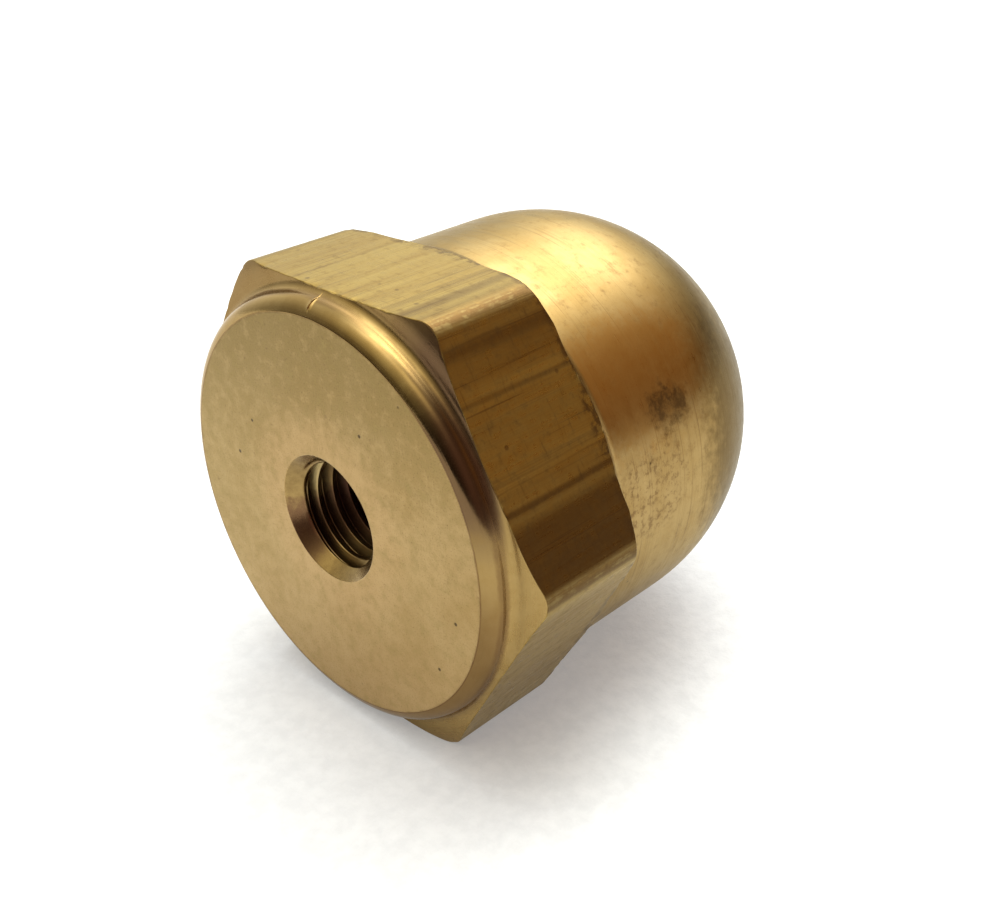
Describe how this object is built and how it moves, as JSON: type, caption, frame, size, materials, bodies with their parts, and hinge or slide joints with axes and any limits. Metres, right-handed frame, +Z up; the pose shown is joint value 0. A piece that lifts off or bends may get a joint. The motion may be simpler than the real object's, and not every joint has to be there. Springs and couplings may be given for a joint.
{
  "type": "domed hexagon pipe cap",
  "caption": "Brass cap turned from hexagon bar: flat face with a countersunk blind tapped hole, short hexagon collar and a smooth domed barrel.",
  "frame": {"origin": "where the cap's axis meets the plane of its flat face, at the centre of the tapped hole's mouth", "axes": "+Y along the axis from the flat face to the dome, +Z up and square to one flat of the hexagon, so the part lies on the flat below"},
  "size_m": [0.0408, 0.0415, 0.036],
  "materials": {
    "brass_body": "satin, as turned and as drawn, lightly tarnished",
    "seal": "matte"
  },
  "bodies": {
    "root": {"cap_body": "brass_body", "seal_disc": "seal"}
  },
  "joints": []
}
